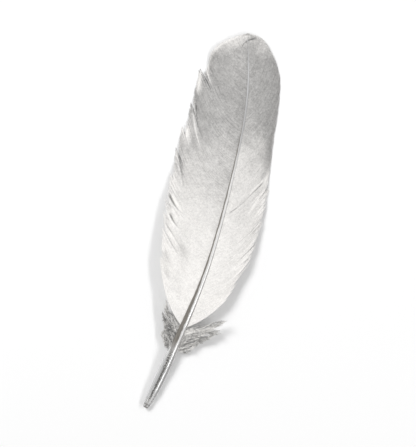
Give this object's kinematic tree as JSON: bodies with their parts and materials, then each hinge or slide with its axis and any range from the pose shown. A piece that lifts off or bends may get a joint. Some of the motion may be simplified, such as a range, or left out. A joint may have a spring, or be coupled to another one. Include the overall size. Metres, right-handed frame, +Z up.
{
  "type": "goose quill feather",
  "caption": "Silver-painted goose wing feather with a hollow quill, a wide and a narrow vane with split edges, and downy tufts at the base.",
  "frame": {"origin": "middle of the feather's outline as it lies, on the surface it rests on", "axes": "+Y from the quill's end towards the tip, +X towards the narrow vane, +Z up from the surface"},
  "size_m": [0.0462, 0.1702, 0.0115],
  "materials": {
    "quill": "translucent horn with a glossy thin coat of silver paint, and a segmented dried membrane inside the quill",
    "silver_barbs": "fine barbs zipped into a vane, sprayed with metallic silver paint that thins towards the base",
    "down": "loose curly down, lightly dusted with silver paint"
  },
  "bodies": {
    "root": {"quill_shaft": "quill", "wide_vane": "silver_barbs", "narrow_vane": "silver_barbs", "wide_side_down": "down", "narrow_side_down": "down"}
  },
  "joints": []
}
